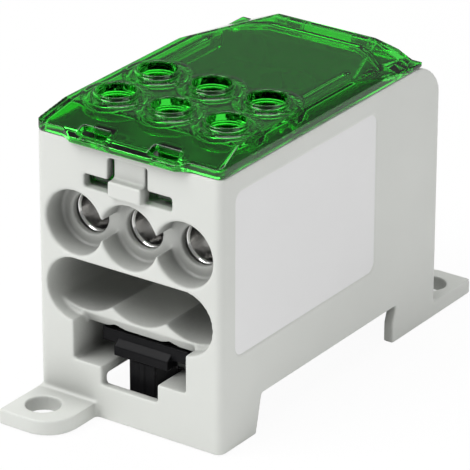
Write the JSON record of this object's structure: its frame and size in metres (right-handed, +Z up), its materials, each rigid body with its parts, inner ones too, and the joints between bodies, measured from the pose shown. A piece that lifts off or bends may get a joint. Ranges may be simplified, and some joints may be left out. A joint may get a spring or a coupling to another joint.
{
  "type": "power distribution block",
  "caption": "Insulated distribution block with a tinted hinged cover, stepped wire entries, a metal clamp block and a sprung foot for a mounting rail.",
  "frame": {"origin": "centre of the footprint on the mounting surface", "axes": "+X across the row of wire entries, +Y from the output side to the input side, +Z up, away from the mounting surface"},
  "size_m": [0.0328, 0.0782, 0.0476],
  "materials": {
    "housing_plastic": "fine moulded light grey",
    "cover_plastic": "clear green tinted, polished",
    "block_metal": "tin plated, drilled",
    "screw_metal": "zinc plated",
    "latch_plastic": "black moulded, satin",
    "label_face": "smooth label"
  },
  "bodies": {
    "housing": {"housing": "housing_plastic", "terminal_block": "block_metal", "label": "label_face"},
    "cover": {"cover": "cover_plastic"},
    "rail_latch": {"rail_latch": "latch_plastic"},
    "input_screw": {"input_screw": "screw_metal"},
    "output_screw_1": {"output_screw_1": "screw_metal"},
    "output_screw_2": {"output_screw_2": "screw_metal"},
    "output_screw_3": {"output_screw_3": "screw_metal"},
    "output_screw_4": {"output_screw_4": "screw_metal"},
    "output_screw_5": {"output_screw_5": "screw_metal"},
    "output_screw_6": {"output_screw_6": "screw_metal"}
  },
  "joints": [
    {"name": "cover_hinge", "type": "hinge", "parent": "housing", "child": "cover", "pos_m": [0, 0.02325, 0.0445], "axis": [-1, 0, 0], "range_deg": [0, 105]},
    {"name": "latch_slide", "type": "slide", "parent": "housing", "child": "rail_latch", "axis": [0, -1, 0], "range_m": [0, 0.0014], "stiffness_N_per_m": 1500, "springref_m": -0.001},
    {"name": "input_screw_slide", "type": "slide", "parent": "housing", "child": "input_screw", "axis": [0, 0, -1], "range_m": [0, 0.007]},
    {"name": "output_screw_1_slide", "type": "slide", "parent": "housing", "child": "output_screw_1", "axis": [0, 0, -1], "range_m": [0, 0.0029]},
    {"name": "output_screw_2_slide", "type": "slide", "parent": "housing", "child": "output_screw_2", "axis": [0, 0, -1], "range_m": [0, 0.0029]},
    {"name": "output_screw_3_slide", "type": "slide", "parent": "housing", "child": "output_screw_3", "axis": [0, 0, -1], "range_m": [0, 0.0029]},
    {"name": "output_screw_4_slide", "type": "slide", "parent": "housing", "child": "output_screw_4", "axis": [0, 0, -1], "range_m": [0, 0.0029]},
    {"name": "output_screw_5_slide", "type": "slide", "parent": "housing", "child": "output_screw_5", "axis": [0, 0, -1], "range_m": [0, 0.0029]},
    {"name": "output_screw_6_slide", "type": "slide", "parent": "housing", "child": "output_screw_6", "axis": [0, 0, -1], "range_m": [0, 0.0029]}
  ]
}
